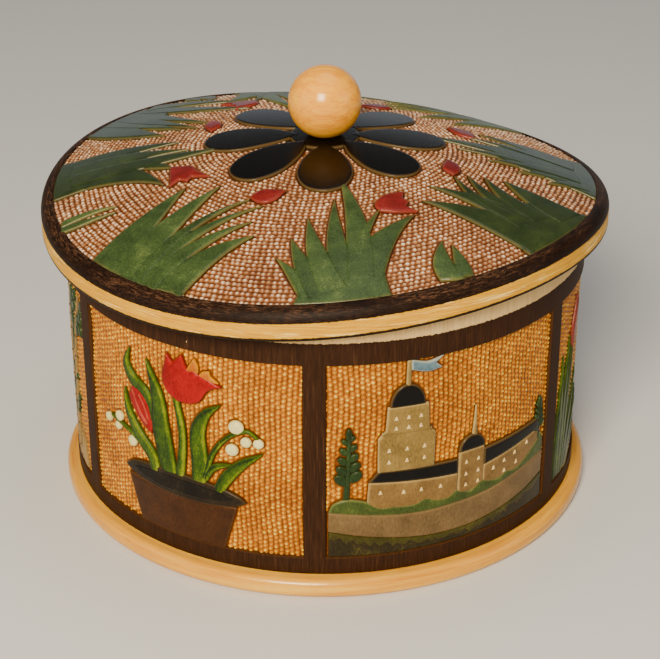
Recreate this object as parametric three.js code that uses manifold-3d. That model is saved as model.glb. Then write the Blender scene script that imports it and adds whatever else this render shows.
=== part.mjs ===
// Round lidded box in carved and stained light wood.
//
// A turned base plate carries a carved wall ring. A domed lid drops into the wall with a
// spigot and lifts off straight up by a ball knob, which a dowel holds to the lid.
//
// Millimetres, +Z up. The origin is the centre of the base plate's underside, +X is to the
// right of the front, and the front of the box faces -Y.

import * as THREE from 'three';
import { mergeVertices } from 'three/addons/utils/BufferGeometryUtils.js';
import Module from 'manifold-3d';

const wasm = await Module();
wasm.setup();

// ---- Driving dimensions -------------------------------------------------------------

const SEGMENTS = 96;                 // facets round every large turned piece
const GAP = 0.3;                     // clearance between pieces that rest on each other

const BASE_RADIUS = 106.8;           // the base plate's flange, the widest part of the foot
const BASE_THICKNESS = 7.6;          // flange height, up to the wall's lower end
const BASE_STEP = 2.6;               // height of the plug that centres the wall
const BASE_EDGE_RADIUS = 3.0;        // rounding of the flange

const WALL_RADIUS = 102;             // outside of the raised frame
const WALL_BORE_RADIUS = 93.5;
const WALL_TOP = 109.3;              // mean height of the wall's upper end
const PANEL_COUNT = 6;
const PANEL_DEPTH = 1.5;             // how far the panels are carved below the frame
const PANEL_BOTTOM = 14.6;
const PANEL_TOP = 94.7;
const BAR_HALF_ANGLE = 2.1;          // half the width of an upright bar, in degrees
const FIRST_BAR_ANGLE = -2.2;        // the front bar, from -Y towards +X, in degrees

const LID_RADIUS = 110;
const LID_EDGE_HEIGHT = 6.8;         // plain upright edge
const LID_BAND_RADIUS = 105.2;       // where the rounded rim band meets the carved dome
const LID_BAND_RISE = 4.9;
const DOME_RISE = 20.5;
const GROUND_DEPTH = 1.2;            // how far the dome's ground is carved below its surface
const SPIGOT_RADIUS = 93.2;
const SPIGOT_BORE_RADIUS = 86;
const SPIGOT_DEPTH = 4;
const LID_HOLLOW_RISE = 18.5;        // the hollow turned into the lid's underside
const KNOB_SEAT_RADIUS = 12;         // uncarved boss under the knob

const KNOB_RADIUS = 14.1;
const KNOB_SINK = 1.5;               // how far the ball is cut flat below its full round

const DOWEL_RADIUS = 4;
const DOWEL_DEPTH = 10;              // length of dowel in the lid, and in the knob

// The lid has warped into a shallow saddle, and the wall's upper end with it.
const WARP_HEIGHT = 4.6;             // at the lid's edge
const WARP_HIGH_ANGLE = -39;         // one high side, from +X towards +Y, in degrees

// ---- Heights that follow from them --------------------------------------------------

const WALL_BOTTOM = BASE_THICKNESS + GAP;
const LID_BOTTOM = WALL_TOP + GAP;
const LID_EDGE_TOP = LID_BOTTOM + LID_EDGE_HEIGHT;
const DOME_BASE = LID_EDGE_TOP + LID_BAND_RISE;
const DOME_TOP = DOME_BASE + DOME_RISE;
const KNOB_FLAT = DOME_TOP + GAP;
const KNOB_CENTRE = KNOB_FLAT + KNOB_RADIUS - KNOB_SINK;
const DOWEL_HOLE_RADIUS = DOWEL_RADIUS + GAP;
const DOWEL_HOLE_DEPTH = DOWEL_DEPTH + GAP;

// ---- Materials ----------------------------------------------------------------------

function wood(color, roughness) {
  return new THREE.MeshStandardMaterial({ color, roughness, metalness: 0 });
}

const honeyWood = wood(0xc98a3c, 0.4);
const carvedWood = wood(0xb57434, 0.5);
const stainedWood = wood(0x9a6a48, 0.45);
const knobWood = wood(0xd9a050, 0.3);
const rawWood = wood(0xdcc08a, 0.7);

// ---- Helpers ------------------------------------------------------------------------

const radians = THREE.MathUtils.degToRad;

/** Height that the warp adds at a point of the lid or of the wall's upper end. */
function warpAt(x, y) {
  const angle = Math.atan2(y, x) - radians(WARP_HIGH_ANGLE);
  const reach = Math.hypot(x, y) / LID_RADIUS;
  return WARP_HEIGHT * reach * reach * Math.cos(2 * angle);
}

/** Raises every vertex above minimumHeight by the warp. */
function applyWarp(geometry, minimumHeight = -Infinity) {
  const position = geometry.attributes.position;
  for (let i = 0; i < position.count; i += 1) {
    const z = position.getZ(i);
    if (z > minimumHeight) {
      position.setZ(i, z + warpAt(position.getX(i), position.getY(i)));
    }
  }
  return geometry;
}

/** Points on an elliptical quarter from (r0, z0) to (r1, z1), leaving r0 upright. */
function quarterRound(r0, z0, r1, z1, steps) {
  const points = [];
  for (let i = 0; i <= steps; i += 1) {
    const turn = (i / steps) * (Math.PI / 2);
    points.push([r1 + (r0 - r1) * Math.cos(turn), z0 + (z1 - z0) * Math.sin(turn)]);
  }
  return points;
}

/** Points on a parabolic dome between two radii, as [radius, height] pairs. */
function domeArc(radiusFrom, radiusTo, baseRadius, baseHeight, rise, steps) {
  const points = [];
  for (let i = 0; i <= steps; i += 1) {
    const r = radiusFrom + ((radiusTo - radiusFrom) * i) / steps;
    points.push([r, baseHeight + rise * (1 - (r / baseRadius) ** 2)]);
  }
  return points;
}

/** Turns a profile of [radius, height] pairs about +Z. */
function turned(profile, segments = SEGMENTS) {
  const points = profile.map(([r, z]) => new THREE.Vector2(r, z));
  return new THREE.LatheGeometry(points, segments).rotateX(Math.PI / 2);
}

function toSolid(geometry) {
  const bare = geometry.clone();
  bare.deleteAttribute('normal');
  bare.deleteAttribute('uv');
  const merged = mergeVertices(bare, 1e-4);
  const mesh = new wasm.Mesh({
    numProp: 3,
    vertProperties: merged.attributes.position.array,
    triVerts: Uint32Array.from(merged.index.array),
  });
  return new wasm.Manifold(mesh);
}

function toGeometry(solid) {
  const mesh = solid.getMesh();
  const geometry = new THREE.BufferGeometry();
  geometry.setAttribute('position', new THREE.BufferAttribute(mesh.vertProperties, 3));
  geometry.setIndex(new THREE.BufferAttribute(mesh.triVerts, 1));
  geometry.computeVertexNormals();
  return geometry;
}

const box = new THREE.Group();

function addPiece(name, geometry, material) {
  const mesh = new THREE.Mesh(geometry, material);
  mesh.name = name;
  box.add(mesh);
}

// ---- Base plate: a turned disc with a rounded flange and a plug for the wall --------

function basePlate() {
  const plugRadius = WALL_BORE_RADIUS - GAP;
  const inner = BASE_RADIUS - BASE_EDGE_RADIUS;
  const lower = quarterRound(BASE_RADIUS, BASE_EDGE_RADIUS, inner, 0, 6).reverse();
  const upper = quarterRound(
    BASE_RADIUS, BASE_THICKNESS - BASE_EDGE_RADIUS, inner, BASE_THICKNESS, 6,
  );
  return turned([
    [0, 0],
    ...lower,
    ...upper,
    [plugRadius, BASE_THICKNESS],
    [plugRadius, BASE_THICKNESS + BASE_STEP],
    [0, BASE_THICKNESS + BASE_STEP],
  ]);
}

// ---- Wall: a ring whose panels are carved back between bands and upright bars -------

function wallRing() {
  return turned([
    [WALL_BORE_RADIUS, WALL_BOTTOM],
    [WALL_RADIUS, WALL_BOTTOM],
    [WALL_RADIUS, WALL_TOP],
    [WALL_BORE_RADIUS, WALL_TOP],
    [WALL_BORE_RADIUS, WALL_BOTTOM],
  ]);
}

/** The curved block that one panel is carved out by. */
function panelCutter(index) {
  const pitch = 360 / PANEL_COUNT;
  const floor = WALL_RADIUS - PANEL_DEPTH;
  const outside = WALL_RADIUS + PANEL_DEPTH;
  const front = -90 + FIRST_BAR_ANGLE + index * pitch;
  const start = radians(front + BAR_HALF_ANGLE);
  const end = radians(front + pitch - BAR_HALF_ANGLE);
  const outline = new THREE.Shape();
  outline.absarc(0, 0, outside, start, end, false);
  outline.absarc(0, 0, floor, end, start, true);
  outline.closePath();
  const block = new THREE.ExtrudeGeometry(outline, {
    depth: PANEL_TOP - PANEL_BOTTOM,
    bevelEnabled: false,
    curveSegments: Math.round(SEGMENTS / PANEL_COUNT),
  });
  return block.translate(0, 0, PANEL_BOTTOM);
}

function carvedWall() {
  let solid = toSolid(wallRing());
  for (let index = 0; index < PANEL_COUNT; index += 1) {
    solid = solid.subtract(toSolid(panelCutter(index)));
  }
  return applyWarp(toGeometry(solid), WALL_TOP - GAP);
}

// ---- Lid: a domed disc with a rounded rim band, a spigot and a hollow underside -----

function domedLid() {
  const groundRadius = LID_BAND_RADIUS - GAP;
  const groundBase = DOME_BASE - GROUND_DEPTH;
  const edgeChamfer = 0.5;
  return applyWarp(turned([
    ...domeArc(0, SPIGOT_BORE_RADIUS, SPIGOT_BORE_RADIUS, LID_BOTTOM, LID_HOLLOW_RISE, 8),
    [SPIGOT_BORE_RADIUS, LID_BOTTOM - SPIGOT_DEPTH],
    [SPIGOT_RADIUS, LID_BOTTOM - SPIGOT_DEPTH],
    [SPIGOT_RADIUS, LID_BOTTOM],
    [LID_RADIUS - edgeChamfer, LID_BOTTOM],
    [LID_RADIUS, LID_BOTTOM + edgeChamfer],
    ...quarterRound(LID_RADIUS, LID_EDGE_TOP, LID_BAND_RADIUS, DOME_BASE, 5),
    ...domeArc(groundRadius, KNOB_SEAT_RADIUS, LID_BAND_RADIUS, groundBase, DOME_RISE, 10),
    [KNOB_SEAT_RADIUS, DOME_TOP],
    [DOWEL_HOLE_RADIUS, DOME_TOP],
    [DOWEL_HOLE_RADIUS, DOME_TOP - DOWEL_HOLE_DEPTH],
    [0, DOME_TOP - DOWEL_HOLE_DEPTH],
  ]));
}

// ---- Knob: a turned ball, cut flat where it sits and bored for the dowel ------------

function ballKnob() {
  const boreTop = KNOB_FLAT + DOWEL_HOLE_DEPTH;
  const flatAngle = Math.asin((KNOB_SINK - KNOB_RADIUS) / KNOB_RADIUS);
  const steps = 16;
  const profile = [[0, boreTop], [DOWEL_HOLE_RADIUS, boreTop], [DOWEL_HOLE_RADIUS, KNOB_FLAT]];
  for (let i = 0; i < steps; i += 1) {
    const angle = flatAngle + ((Math.PI / 2 - flatAngle) * i) / steps;
    profile.push([KNOB_RADIUS * Math.cos(angle), KNOB_CENTRE + KNOB_RADIUS * Math.sin(angle)]);
  }
  profile.push([0, KNOB_CENTRE + KNOB_RADIUS]);
  return turned(profile, SEGMENTS / 2);
}

function knobDowel() {
  const bottom = DOME_TOP - DOWEL_DEPTH;
  const top = KNOB_FLAT + DOWEL_DEPTH;
  const chamfer = 0.6;
  return turned([
    [0, bottom],
    [DOWEL_RADIUS - chamfer, bottom],
    [DOWEL_RADIUS, bottom + chamfer],
    [DOWEL_RADIUS, top - chamfer],
    [DOWEL_RADIUS - chamfer, top],
    [0, top],
  ], SEGMENTS / 4);
}

// ---- Assembly -----------------------------------------------------------------------

addPiece('base_plate', basePlate(), honeyWood);
addPiece('carved_wall', carvedWall(), carvedWood);
addPiece('domed_lid', domedLid(), stainedWood);
addPiece('ball_knob', ballKnob(), knobWood);
addPiece('knob_dowel', knobDowel(), rawWood);

export default box;
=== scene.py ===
"""The looks of a round carved and stained lidded box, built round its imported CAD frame.

Sizes are in millimetres in the frame's own axes until a mesh is made, which is in metres.
The wall's panels and the lid's dome are carved: a punched, beaded ground lies low and the
painted motifs stand at the height of the uncarved wood.
"""

import math

import bpy
import numpy as np
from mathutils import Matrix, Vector
from mathutils.kdtree import KDTree
from mathutils.geometry import delaunay_2d_cdt


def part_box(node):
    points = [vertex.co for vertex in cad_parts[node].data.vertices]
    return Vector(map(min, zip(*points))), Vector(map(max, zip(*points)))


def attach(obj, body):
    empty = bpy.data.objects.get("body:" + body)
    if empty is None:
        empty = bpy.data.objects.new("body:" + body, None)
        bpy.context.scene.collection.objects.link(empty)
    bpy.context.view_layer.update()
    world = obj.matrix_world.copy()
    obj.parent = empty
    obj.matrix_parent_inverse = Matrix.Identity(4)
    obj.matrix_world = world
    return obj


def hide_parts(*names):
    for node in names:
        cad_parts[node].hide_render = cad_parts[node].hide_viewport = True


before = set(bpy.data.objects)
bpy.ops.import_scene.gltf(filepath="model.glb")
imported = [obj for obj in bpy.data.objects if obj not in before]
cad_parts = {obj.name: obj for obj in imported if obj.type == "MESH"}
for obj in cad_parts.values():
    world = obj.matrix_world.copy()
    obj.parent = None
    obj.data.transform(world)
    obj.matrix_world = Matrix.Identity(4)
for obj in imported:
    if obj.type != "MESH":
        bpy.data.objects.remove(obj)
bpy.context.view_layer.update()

# ---- Sizes -----------------------------------------------------------------------------

MM = 0.001
METRE = 1000.0


def highest(node):
    """The highest corner of a CAD node's box, in millimetres."""
    return np.array(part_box(node)[1]) * METRE


def lowest_height(node):
    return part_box(node)[0][2] * METRE


GAP = 0.3                             # clearance between pieces

BASE_RADIUS, _, BASE_TOP = highest("base_plate")
BASE_THICKNESS = 7.6
BASE_EDGE_RADIUS = 3.0

WALL_RADIUS = highest("carved_wall")[0]   # outside of the raised frame
WALL_BORE_RADIUS = 93.5
WALL_BOTTOM = lowest_height("carved_wall")
WALL_TOP = 109.3                      # mean height of the warped upper end
WALL_WARP_START = 103.0               # the wall is straight below this
STAIN_TOP = 103.2                     # the dark stain ends here and bare wood starts
PANEL_COUNT = 6
PANEL_DEPTH = 1.5
PANEL_FLOOR_RADIUS = WALL_RADIUS - PANEL_DEPTH
PANEL_BOTTOM = 14.6
PANEL_TOP = 94.7
BAR_HALF_ANGLE = 2.1                  # degrees
FIRST_BAR_ANGLE = -2.2                # degrees from -Y towards +X
PANEL_PITCH = 360 / PANEL_COUNT
PANEL_HALF_WIDTH = math.radians(PANEL_PITCH / 2 - BAR_HALF_ANGLE) * PANEL_FLOOR_RADIUS
CUT_WIDTH = 0.9                       # slope of the carved edge round a panel

LID_RADIUS = highest("domed_lid")[0]
LID_BOTTOM = WALL_TOP + GAP
LID_EDGE_TOP = LID_BOTTOM + 6.8
LID_BAND_RADIUS = 105.2               # inside of the dark rim band
DOME_BASE = LID_EDGE_TOP + 4.9
DOME_RISE = 20.5
GROUND_DEPTH = 1.2                    # of the lid's carving
SPIGOT_RADIUS = 93.2
SPIGOT_BORE_RADIUS = 86.0
SPIGOT_DEPTH = 4.0
LID_HOLLOW_RISE = 18.5
LID_SECTORS = 6                       # pieces that the lid's punched ground is made in

KNOB_RADIUS, _, KNOB_TOP = highest("ball_knob")
KNOB_FLAT = lowest_height("ball_knob")
KNOB_CENTRE = KNOB_TOP - KNOB_RADIUS

WARP_HEIGHT = 4.6
WARP_HIGH_ANGLE = math.radians(-39)

BEAD_STEP = 0.36    # mesh step of the punched ground
BEAD_HEIGHT = 0.62
BEAD_MIDDLE = 0.3                     # height at which distances from the motifs are taken
GROUND_LIFT = 0.05                    # of the punched ground over the carved floor
KNIFE_CUT = 0.3                       # bare width round a motif, and the slope up to the beads
KNIFE_SLOPE = 0.7
SHELL_FOOT = -0.2                     # a motif's underside, below the carved floor
RELIEF_SPACING = 0.75
TURNED_SEGMENTS = 256

BODY = "box_body"
LID = "lid"

# ---- Small helpers ---------------------------------------------------------------------


def warp_at(x, y):
    """Height that the saddle warp adds at a point of the lid or of the wall's upper end."""
    angle = np.arctan2(y, x) - WARP_HIGH_ANGLE
    reach = np.hypot(x, y) / LID_RADIUS
    return WARP_HEIGHT * reach ** 2 * np.cos(2 * angle)


def smooth_step(value):
    value = np.clip(value, 0, 1)
    return value * value * (3 - 2 * value)


def paint(red, green, blue):
    """A colour given as 0 to 255 screen values, as the linear colour that shaders take."""
    linear = []
    for value in (red, green, blue):
        value = value / 255
        linear.append(value / 12.92 if value <= 0.04045 else ((value + 0.055) / 1.055) ** 2.4)
    return (*linear, 1.0)


def make_object(name, points, faces, material, body, values=None):
    """A smooth-shaded mesh object from points in millimetres, riding on a CAD body."""
    mesh = bpy.data.meshes.new(name)
    mesh.from_pydata(np.asarray(points, float) * MM, [], faces)
    for value_name, numbers in (values or {}).items():
        attribute = mesh.attributes.new(value_name, "FLOAT", "POINT")
        attribute.data.foreach_set("value", np.asarray(numbers, np.float32))
    mesh.shade_smooth()
    mesh.materials.append(material)
    piece = bpy.data.objects.new(name, mesh)
    bpy.context.scene.collection.objects.link(piece)
    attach(piece, body)
    return piece


def grid_faces(rows, columns, wrap_rows=False, wrap_columns=False):
    """Quads between neighbouring points of a rows by columns grid."""
    row = np.arange(rows if wrap_rows else rows - 1)
    column = np.arange(columns if wrap_columns else columns - 1)
    row, column = np.meshgrid(row, column, indexing="ij")
    next_row = (row + 1) % rows
    next_column = (column + 1) % columns
    corners = [
        row * columns + column,
        row * columns + next_column,
        next_row * columns + next_column,
        next_row * columns + column,
    ]
    return np.stack(corners, -1).reshape(-1, 4)


def turned(name, profile, material, body, warped=False, values=None):
    """Turns a closed profile about +Z. It runs outwards below and back above, axis to axis.

    values names lists with one number for each point of the profile.
    """
    segments = TURNED_SEGMENTS
    radius, height = np.array(profile[1:-1], float).T
    angle = np.arange(segments) * 2 * math.pi / segments
    x = np.cos(angle)[None, :] * radius[:, None]
    y = np.sin(angle)[None, :] * radius[:, None]
    z = np.broadcast_to(height[:, None], x.shape)
    if warped:
        z = z + warp_at(x, y)
    points = np.stack([x, y, z], -1).reshape(-1, 3)
    points = np.vstack([points, [0, 0, profile[0][1]], [0, 0, profile[-1][1]]])
    faces = grid_faces(len(radius), segments, wrap_columns=True).tolist()
    first, last = len(points) - 2, len(points) - 1
    top_row = (len(radius) - 1) * segments
    for i in range(segments):
        j = (i + 1) % segments
        faces.append((first, j, i))
        faces.append((last, top_row + i, top_row + j))
    numbers = {}
    for value_name, given in (values or {}).items():
        numbers[value_name] = np.append(np.repeat(given[1:-1], segments), [given[0], given[-1]])
    return make_object(name, points, faces, material, body, numbers)


def rounded(corner_from, corner_to, steps):
    """Points on an elliptical quarter that leaves corner_from upright."""
    (r0, z0), (r1, z1) = corner_from, corner_to
    turns = np.linspace(0, math.pi / 2, steps + 1)
    return [(r1 + (r0 - r1) * math.cos(t), z0 + (z1 - z0) * math.sin(t)) for t in turns]


# ---- Shader helpers --------------------------------------------------------------------


class Shader:
    """A node material. Textures are placed in millimetres of the piece's own space."""

    def __init__(self, name):
        self.material = bpy.data.materials.new(name)
        self.material.use_nodes = True
        self.tree = self.material.node_tree
        self.surface = self.tree.nodes["Principled BSDF"]
        self.space = self.node("ShaderNodeTexCoord").outputs["Object"]
        self.space = self.scaled(METRE)

    def node(self, kind, **settings):
        node = self.tree.nodes.new(kind)
        for key, value in settings.items():
            setattr(node, key, value)
        return node

    def round_space(self):
        """The texture space unrolled: mm along the circumference, outwards and upwards."""
        split = self.node("ShaderNodeSeparateXYZ")
        self.feed(split.inputs[0], self.space)
        x, y, z = split.outputs
        reach = self.maths("SQRT", self.plus(self.times(x, x), self.times(y, y)))
        turn = self.maths("ARCTAN2", x, self.times(y, -1.0))
        joined = self.node("ShaderNodeCombineXYZ")
        for socket, value in zip(joined.inputs, (self.times(turn, 100.0), reach, z)):
            self.feed(socket, value)
        return joined.outputs[0]

    def feed(self, socket, value):
        """Links a socket, or sets its number or its colour, which is given as screen values."""
        if isinstance(value, bpy.types.NodeSocket):
            self.tree.links.new(value, socket)
        else:
            socket.default_value = paint(*value) if isinstance(value, tuple) else value

    def scaled(self, scale, vector=None):
        """The texture space stretched by one number, or by one for each axis."""
        node = self.node("ShaderNodeVectorMath", operation="MULTIPLY")
        self.feed(node.inputs[0], vector or self.space)
        node.inputs[1].default_value = scale if isinstance(scale, tuple) else (scale,) * 3
        return node.outputs[0]

    def noise(self, scale, detail=4, roughness=0.55, distortion=0.0):
        """Noise whose features are about 1 / scale mm, with a scale for each axis if given."""
        node = self.node("ShaderNodeTexNoise")
        self.feed(node.inputs["Vector"], self.scaled(scale))
        node.inputs["Scale"].default_value = 1.0
        node.inputs["Detail"].default_value = detail
        node.inputs["Roughness"].default_value = roughness
        node.inputs["Distortion"].default_value = distortion
        return node.outputs["Fac"]

    def ramp(self, value, *stops):
        """A colour ramp through (place, colour) stops."""
        node = self.node("ShaderNodeValToRGB")
        self.feed(node.inputs[0], value)
        elements = node.color_ramp.elements
        while len(elements) < len(stops):
            elements.new(0.5)
        for element, (place, colour) in zip(elements, stops):
            element.position = place
            element.color = paint(*colour)
        return node.outputs["Color"]

    def span(self, value, low, high):
        """Value taken from low..high to 0..1, clamped."""
        node = self.node("ShaderNodeMapRange")
        self.feed(node.inputs["Value"], value)
        node.inputs["From Min"].default_value = low
        node.inputs["From Max"].default_value = high
        return node.outputs["Result"]

    def maths(self, operation, first, second=0.0, clamp=False):
        node = self.node("ShaderNodeMath", operation=operation, use_clamp=clamp)
        self.feed(node.inputs[0], first)
        self.feed(node.inputs[1], second)
        return node.outputs[0]

    def times(self, first, second, clamp=False):
        return self.maths("MULTIPLY", first, second, clamp)

    def plus(self, first, second):
        return self.maths("ADD", first, second)

    def mix(self, share, first, second, blend="MIX"):
        node = self.node("ShaderNodeMix", data_type="RGBA", blend_type=blend)
        colours = [s for s in node.inputs if s.type == "RGBA"]
        self.feed(node.inputs[0], share)
        self.feed(colours[0], first)
        self.feed(colours[1], second)
        return next(s for s in node.outputs if s.type == "RGBA")

    def value(self, name):
        """A number stored on the mesh's points."""
        return self.node("ShaderNodeAttribute", attribute_name=name).outputs["Fac"]

    def height(self):
        """Height above the table in millimetres."""
        node = self.node("ShaderNodeSeparateXYZ")
        self.feed(node.inputs[0], self.space)
        return node.outputs["Z"]

    def finish(self, colour, roughness, bump, bump_mm, coat=0.0, coat_roughness=0.1, shine=0.5):
        self.feed(self.surface.inputs["Base Color"], colour)
        self.feed(self.surface.inputs["Roughness"], roughness)
        self.surface.inputs["Specular IOR Level"].default_value = shine
        self.surface.inputs["Coat Weight"].default_value = coat
        self.surface.inputs["Coat Roughness"].default_value = coat_roughness
        node = self.node("ShaderNodeBump")
        node.inputs["Distance"].default_value = bump_mm * MM
        self.feed(node.inputs["Height"], bump)
        self.feed(self.surface.inputs["Normal"], node.outputs["Normal"])
        return self.material


# ---- Materials -------------------------------------------------------------------------


def lacquered_wood(name, dark, middle, light, grain, gloss=0.25, figure=0.5, turned_grain=False,
                   varnish=0.3):
    """Bare or amber wood under lacquer. grain is the texture scale along each axis."""
    shader = Shader(name)
    if turned_grain:
        shader.space = shader.round_space()
    fine = shader.noise(grain, detail=8, roughness=0.65)
    broad = shader.noise(tuple(scale * 0.22 for scale in grain), detail=3, distortion=0.8)
    pores = shader.noise(tuple(scale * 2.6 for scale in grain), detail=2)
    wood = shader.ramp(broad, (0.3, dark), (0.5, middle), (0.72, light))
    streaks = shader.ramp(fine, (0.3, dark), (0.62, light))
    colour = shader.mix(figure, wood, streaks)
    colour = shader.mix(shader.span(pores, 0.62, 0.8), colour, dark)
    roughness = shader.span(fine, -1.0, 3.0)
    roughness = shader.plus(shader.times(roughness, 0.3), gloss - 0.1)
    return shader.finish(colour, roughness, fine, 0.04, coat=varnish, coat_roughness=0.12, shine=0.3)


def frame_material():
    """The wall: dark stain on the raised frame, amber on its cut edges, bare wood elsewhere."""
    shader = Shader("stained_frame")
    grain = shader.noise((1.6, 1.6, 0.09), detail=7, roughness=0.7)
    stain = shader.ramp(grain, (0.3, (32, 18, 10)), (0.55, (51, 30, 17)), (0.8, (82, 53, 33)))
    bare = shader.ramp(grain, (0.3, (196, 156, 98)), (0.7, (226, 194, 138)))
    amber = shader.ramp(grain, (0.3, (46, 25, 8)), (0.7, (80, 46, 17)))
    ragged = shader.noise((0.9, 0.9, 0.25), detail=5, roughness=0.7)
    line = shader.plus(shader.height(), shader.times(ragged, 1.6))
    above = shader.span(line, STAIN_TOP + 0.7, STAIN_TOP + 0.95)
    chips = shader.span(shader.noise((0.16, 0.16, 0.22), detail=5, roughness=0.75), 0.735, 0.75)
    colour = shader.mix(chips, stain, bare)
    colour = shader.mix(above, colour, bare)
    colour = shader.mix(shader.value("cut"), colour, amber)
    colour = shader.mix(shader.value("bare"), colour, bare)
    roughness = shader.ramp(grain, (0.2, (176, 176, 176)), (0.8, (215, 215, 215)))
    return shader.finish(colour, roughness, grain, 0.06, shine=0.06)


def ground_material(name, groove, slope, tip, tip_start, tip_share):
    """Punched ground: dark between the beads, amber on them, and a pale tip that is a painted
    highlight.
    """
    shader = Shader(name)
    bead = shader.value("bead")
    tone = shader.value("tone")
    broad = shader.noise(0.06, detail=3)
    grain = shader.noise((1.2, 1.2, 0.3), detail=5)
    colour = shader.ramp(bead, (0.0, groove), (0.32, slope), (0.9, slope))
    # Painted highlight: the pale tip colour on each bead's top, stronger on some beads than others.
    highlight = shader.span(bead, tip_start, 0.98)
    highlight = shader.times(highlight, shader.span(tone, -0.25, 0.9))
    highlight = shader.times(highlight, tip_share, clamp=True)
    colour = shader.mix(highlight, colour, tip)
    shade = shader.ramp(broad, (0.3, (205, 190, 180)), (0.7, (255, 255, 255)))
    colour = shader.mix(1.0, colour, shade, blend="MULTIPLY")
    grain_shade = shader.ramp(grain, (0.3, (215, 205, 200)), (0.7, (255, 255, 255)))
    colour = shader.mix(1.0, colour, grain_shade, blend="MULTIPLY")
    return shader.finish(colour, 0.34, grain, 0.05, coat=0.08, coat_roughness=0.15, shine=0.16)


def lid_material():
    """The lid: a dark scratched rim band over a pale worn edge, a painted shadow along the edge's foot,
    bare wood underneath.
    """
    shader = Shader("lid_wood")
    shader.space = shader.round_space()
    height = shader.value("level")
    foot_shadow_height, stain_line, crest_low, crest_high = 1.6, 7.1, 8.4, 10.8
    streaks = shader.noise((0.07, 1.4, 1.9), detail=8, roughness=0.7)
    fine = shader.noise((0.5, 2.4, 3.0), detail=6, roughness=0.7)
    pale = shader.ramp(streaks, (0.3, (168, 107, 18)), (0.55, (212, 154, 32)), (0.75, (238, 188, 56)))
    wear = shader.span(shader.noise((0.03, 0.4, 0.5), detail=7, roughness=0.75), 0.55, 0.61)
    pale = shader.mix(shader.times(wear, 0.75), pale, (250, 216, 130))
    stain = shader.ramp(fine, (0.35, (10, 6, 4)), (0.7, (36, 19, 11)))
    scratches = shader.noise((0.3, 1.6, 1.6), detail=9, roughness=0.85, distortion=1.0)
    rubbed = shader.span(shader.noise((0.03, 0.1, 0.1), detail=2), 0.3, 0.5)
    scratched = shader.times(shader.span(scratches, 0.5, 0.64), rubbed)
    crest = shader.plus(shader.times(shader.span(height, crest_low, crest_high), 0.75), 0.25)
    scratched = shader.times(scratched, crest)
    stain = shader.mix(shader.times(scratched, 0.7), stain, (140, 96, 66))
    ragged = shader.times(shader.noise(0.5, detail=5, roughness=0.7), 0.9)
    line = shader.plus(height, ragged)
    colour = shader.mix(shader.span(line, stain_line, stain_line + 0.25), pale, stain)
    # Painted shadow: the lowest part of the edge goes dark in a ragged line along the lid's foot.
    colour = shader.mix(shader.span(line, foot_shadow_height + 0.3, foot_shadow_height), colour, (34, 22, 12))
    bare = shader.ramp(streaks, (0.3, (190, 150, 98)), (0.7, (220, 186, 132)))
    colour = shader.mix(shader.value("bare"), colour, bare)
    roughness = shader.ramp(scratches, (0.3, (160, 160, 160)), (0.7, (205, 205, 205)))
    return shader.finish(colour, roughness, fine, 0.08, shine=0.08)


def painted_wood(name, dark, middle, light, edge, edge_share=0.8, seam=None, gloss=0.3, shine=0.12,
                 painted_side_light=0.0, fleck_share=0.45):
    """Thin stain on raised wood: grain shows through, and the cut edge stays pale.

    seam is the colour where two shells cross. painted_side_light lightens the right side of each shell
    and darkens the left: a painted highlight on the right and painted shade on the left.
    """
    shader = Shader(name)
    grain = shader.noise((1.5, 1.5, 0.7), detail=8, roughness=0.7)
    blotches = shader.noise(0.11, detail=4, roughness=0.6)
    both = shader.plus(shader.times(grain, 0.55), shader.times(blotches, 0.45))
    tone = shader.plus(both, shader.times(shader.value("tone"), 0.08))
    # Painted light and shade: each shell lighter inside its right edge and darker inside its left.
    if painted_side_light:
        tone = shader.plus(tone, shader.times(shader.value("side"), painted_side_light))
    colour = shader.ramp(tone, (0.36, dark), (0.55, middle), (0.78, light))
    flecks = shader.span(shader.noise(1.1, detail=5, roughness=0.8), 0.58, 0.7)
    colour = shader.mix(shader.times(flecks, fleck_share), colour, light)
    line = shader.times(shader.value("seam"), 0.75)
    colour = shader.mix(line, colour, seam or dark)
    rim = shader.times(shader.value("rim"), edge_share)
    colour = shader.mix(rim, colour, edge)
    return shader.finish(colour, gloss, grain, 0.06, coat=0.04, coat_roughness=0.2, shine=shine)


HONEY = lacquered_wood(
    "honey_wood", (186, 113, 20), (218, 149, 34), (238, 180, 60), (0.05, 0.5, 0.9),
    figure=0.35, turned_grain=True, varnish=0.2,
)
KNOB_WOOD = lacquered_wood(
    "knob_wood", (206, 118, 10), (240, 154, 20), (254, 184, 42), (0.05, 0.7, 0.7),
    gloss=0.2, varnish=0.12,
)
RAW = lacquered_wood(
    "raw_wood", (180, 140, 90), (208, 172, 118), (224, 194, 144), (0.4, 0.4, 0.03),
    gloss=0.6,
)
FRAME = frame_material()
# The tip colours of both grounds are painted highlights on the beads.
WALL_GROUND = ground_material("wall_ground", (112, 56, 0), (212, 132, 0), (255, 238, 96), 0.7, 1.5)
LID_GROUND = ground_material("lid_ground", (80, 42, 18), (168, 108, 58), (255, 238, 212), 0.38, 1.25)
LID_WOOD = lid_material()
OCHRE = (206, 160, 92)
LEAF = painted_wood(
    "leaf_green", (32, 46, 22), (58, 76, 38), (112, 124, 68), OCHRE, 0.15,
    seam=(26, 36, 10), shine=0.2,
)
LEAF_DARK = painted_wood(
    "leaf_green_dark", (22, 34, 12), (42, 55, 22), (68, 82, 36), OCHRE, 0.12,
    seam=(20, 28, 10), shine=0.3,
)
# The wall's leaves get painted side light and shade.
WALL_LEAF = painted_wood(
    "wall_leaf_green", (20, 38, 6), (56, 80, 12), (134, 138, 14), (90, 98, 24), 0.3,
    painted_side_light=0.26, fleck_share=0.16,
)
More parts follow.
